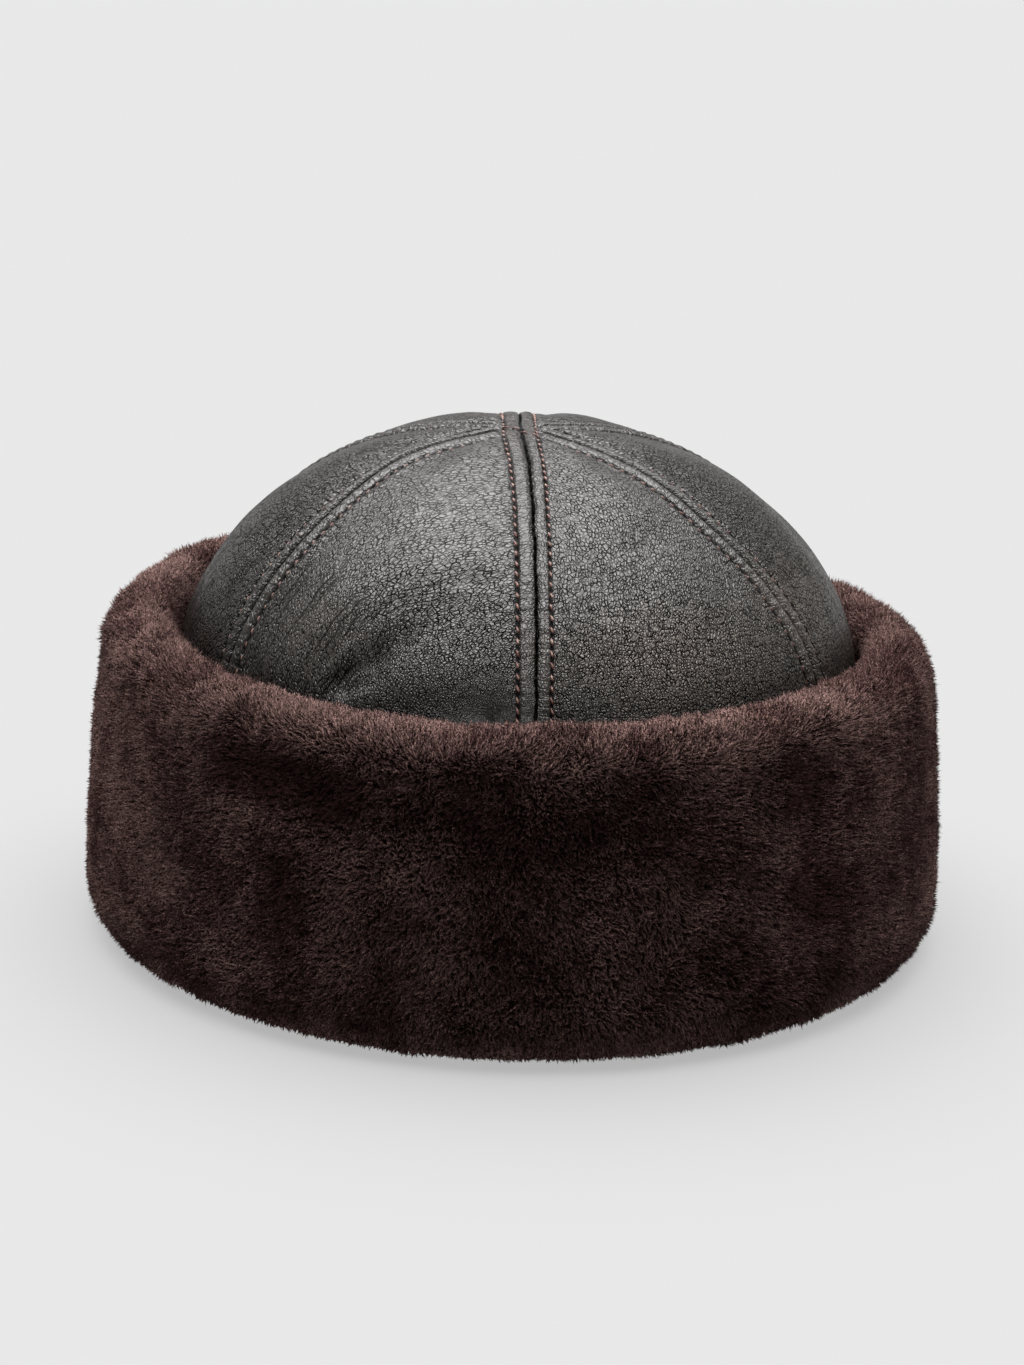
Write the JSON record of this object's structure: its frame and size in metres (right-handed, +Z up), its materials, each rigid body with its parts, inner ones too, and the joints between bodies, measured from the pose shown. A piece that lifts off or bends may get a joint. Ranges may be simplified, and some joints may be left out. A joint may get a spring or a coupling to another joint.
{
  "type": "shearling hat",
  "caption": "Warm hat: a rounded crown of seamed sheepskin panels, leather outside and wool inside, in a deep turned-up cuff of clipped fur. Open below for the head.",
  "frame": {"origin": "the middle of the foot of the cuff, in the plane that the hat rests on", "axes": "+Z up through the top of the crown, -Y out of the front, +X to the right of someone who looks at the front"},
  "size_m": [0.251, 0.2589, 0.1474],
  "materials": {
    "leather": "dark brown-black sheepskin leather, pebbled, satin",
    "fur": "dark brown clipped sheep's wool, dense and matt with a soft sheen at the tips",
    "thread": "rust-brown twisted sewing thread"
  },
  "bodies": {
    "root": {"crown_panel_front_right": "leather", "crown_panel_right": "leather", "crown_panel_back_right": "leather", "crown_panel_back_left": "leather", "crown_panel_left": "leather", "crown_panel_front_left": "leather", "fur_cuff": "fur"}
  },
  "joints": []
}
